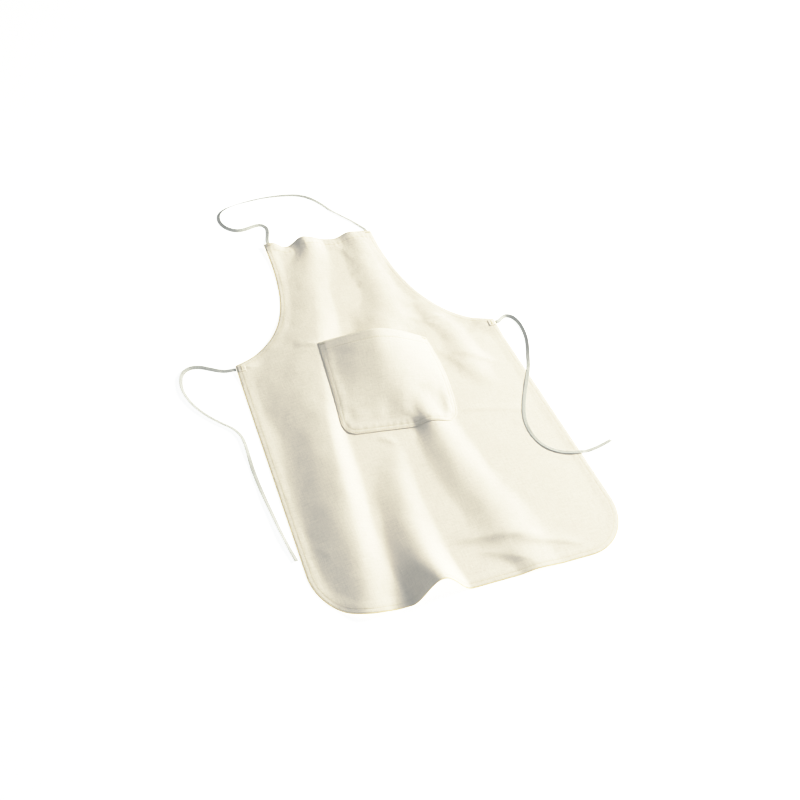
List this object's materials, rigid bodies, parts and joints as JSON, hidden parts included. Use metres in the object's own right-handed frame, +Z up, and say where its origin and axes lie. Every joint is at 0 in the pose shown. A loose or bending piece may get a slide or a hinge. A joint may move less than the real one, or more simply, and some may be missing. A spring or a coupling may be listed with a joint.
{
  "type": "canvas bib apron",
  "caption": "Sleeveless bib apron of natural cotton canvas laid flat, with a patch pocket, a cotton tape neck loop and waist ties.",
  "frame": {"origin": "table height, below the middle of the laid cloth's box, tapes left out", "axes": "+Y from the hem to the bib, +Z up out of the table, +X towards the wearer's left hand"},
  "size_m": [0.6051, 0.876, 0.0387],
  "materials": {
    "canvas": "natural unbleached cotton canvas, plain weave, matt",
    "hem_canvas": "the same canvas turned and stitched in layers",
    "thread": "cotton sewing thread",
    "tape": "narrow woven cotton tape"
  },
  "bodies": {
    "root": {"body_panel": "canvas", "bottom_hem": "hem_canvas", "bib_top_hem": "hem_canvas", "side_hem_left": "hem_canvas", "side_hem_right": "hem_canvas", "armhole_hem_left": "hem_canvas", "armhole_hem_right": "hem_canvas", "pocket_front": "canvas", "pocket_turned_edge": "hem_canvas", "pocket_mouth_hem": "hem_canvas", "waist_corner_patch_left": "hem_canvas", "waist_corner_patch_right": "hem_canvas", "bottom_hem_stitching": "thread", "side_hem_stitching_left": "thread", "side_hem_stitching_right": "thread", "armhole_stitching_left": "thread", "armhole_stitching_right": "thread", "bib_hem_stitching": "thread", "pocket_outer_stitching": "thread", "pocket_inner_stitching": "thread", "pocket_mouth_stitching": "thread", "pocket_tack_left": "thread", "pocket_tack_right": "thread", "neck_tack_left": "thread", "neck_tack_right": "thread", "tie_tack_left": "thread", "tie_tack_right": "thread", "neck_tape_end_left": "tape", "neck_tape_end_right": "tape", "tie_end_left": "tape", "tie_end_right": "tape", "neck_loop": "tape", "waist_tie_left": "tape", "waist_tie_right": "tape"}
  },
  "joints": []
}
